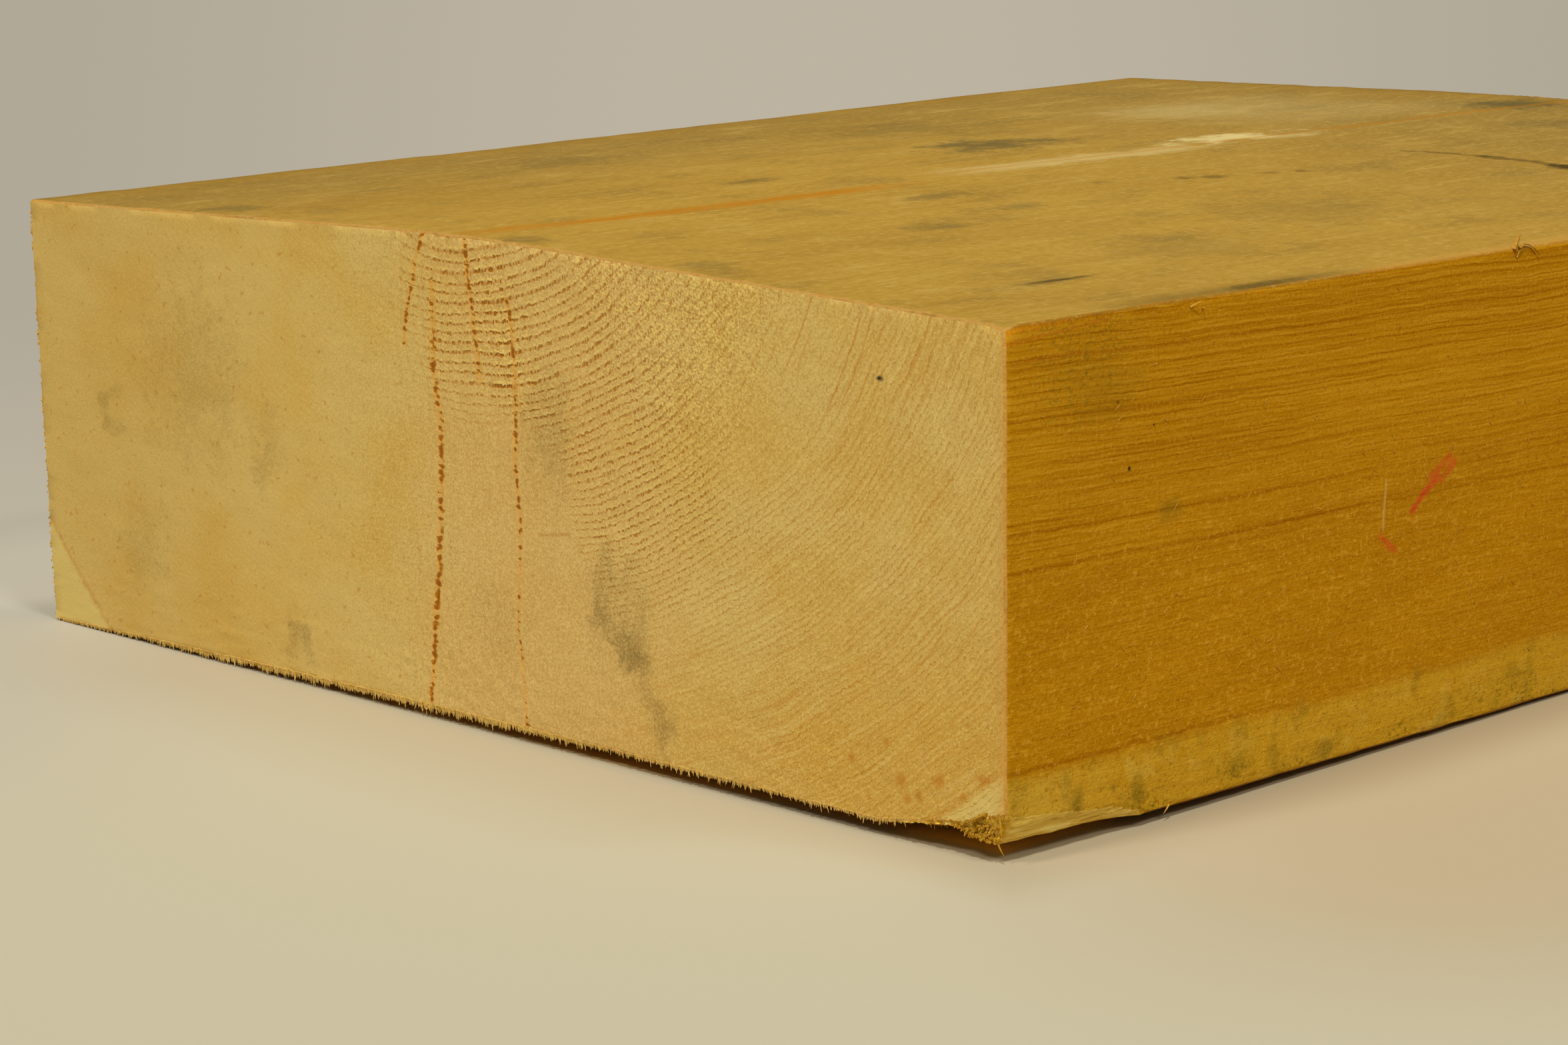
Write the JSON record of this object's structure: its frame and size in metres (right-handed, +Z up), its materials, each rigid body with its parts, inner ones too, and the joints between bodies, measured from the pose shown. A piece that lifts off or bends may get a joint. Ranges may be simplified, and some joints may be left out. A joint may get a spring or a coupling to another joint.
{
  "type": "timber plank",
  "caption": "Short thick off-cut of rough-sawn softwood plank, with a low ridge along its pith side, slightly twisted, with end checks and a torn lower corner.",
  "frame": {"origin": "on the floor under the middle of the plank's overall box, as it lies on its wide face", "axes": "+Y along the grain and the length, away from the checked end; +X across the width, towards the torn arris; +Z up through the thickness"},
  "size_m": [0.2278, 0.3, 0.0792],
  "materials": {
    "sawn_softwood": "rough sawn, unplaned and untreated"
  },
  "bodies": {
    "root": {"plank": "sawn_softwood"}
  },
  "joints": []
}
